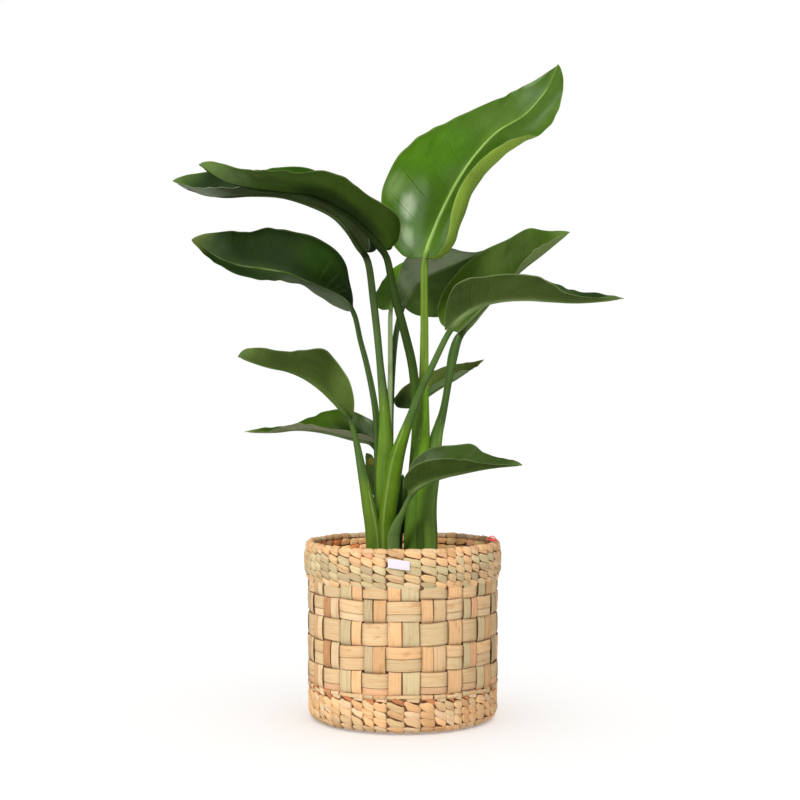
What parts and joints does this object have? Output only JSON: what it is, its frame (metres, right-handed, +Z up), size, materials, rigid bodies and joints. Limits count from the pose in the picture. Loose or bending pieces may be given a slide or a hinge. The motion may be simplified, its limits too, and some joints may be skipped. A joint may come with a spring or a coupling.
{
  "type": "potted plant",
  "caption": "Bird of paradise house plant in a nursery pot, standing in a round basket woven from palm leaf with twined bands at rim and foot.",
  "frame": {"origin": "middle of the basket's flat underside, on the floor", "axes": "+Z up along the plant, -Y toward the front of the plant, +X to its right as seen from the front"},
  "size_m": [0.6406, 0.3726, 0.9536],
  "materials": {
    "woven_palm": "dry woven palm leaf, straw with brown streaks",
    "pot_plastic": "matt black",
    "soil": "crumbly dark potting soil",
    "leaf_green": "firm green leaf, satin above and matt below",
    "tag_card": "matt white",
    "red_thread": "soft cotton"
  },
  "bodies": {
    "root": {"basket_rim": "woven_palm", "basket_weave": "woven_palm", "basket_base": "woven_palm", "nursery_pot": "pot_plastic", "soil": "soil", "leaf_right_front": "leaf_green", "leaf_lower_left": "leaf_green", "leaf_low_right": "leaf_green", "leaf_back_centre": "leaf_green", "leaf_upper_left_back": "leaf_green", "leaf_left": "leaf_green", "leaf_back_right": "leaf_green", "leaf_low_left_back": "leaf_green", "leaf_short_left": "leaf_green", "leaf_short_middle": "leaf_green", "leaf_tall_bright": "leaf_green", "leaf_upper_left_front": "leaf_green", "leaf_right_upper": "leaf_green", "leaf_back_small": "leaf_green", "rim_tag": "tag_card", "rim_thread": "red_thread"}
  },
  "joints": []
}
